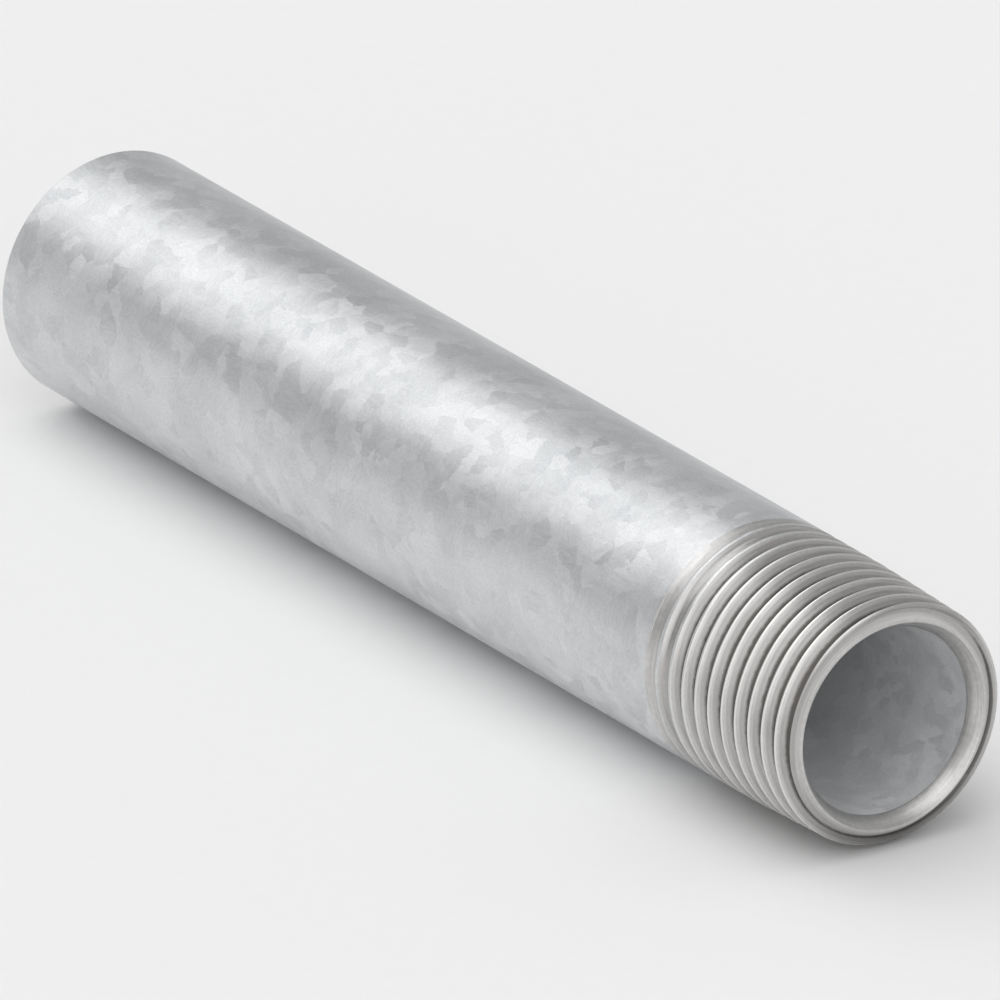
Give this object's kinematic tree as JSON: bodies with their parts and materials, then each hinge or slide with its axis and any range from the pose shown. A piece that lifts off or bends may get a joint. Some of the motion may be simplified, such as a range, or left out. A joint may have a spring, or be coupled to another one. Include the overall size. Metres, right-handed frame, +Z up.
{
  "type": "threaded pipe nipple",
  "caption": "Straight steel pipe nipple: a tapered pipe thread at the front end screws into a fitting, and the plain square-cut back end takes a clamp, slip-on joint or weld.",
  "frame": {"origin": "centre of the threaded end's face, on the pipe's axis", "axes": "+X along the pipe's axis, out of the threaded end; the plain end is at -X; +Z up, with the pipe lying level"},
  "size_m": [0.1143, 0.0214, 0.0214],
  "materials": {
    "galvanised_steel": "hot-dip galvanised pipe with a fine spangle; the thread and both ends are cut afterwards and show bright bare steel"
  },
  "bodies": {
    "root": {"pipe_nipple": "galvanised_steel"}
  },
  "joints": []
}
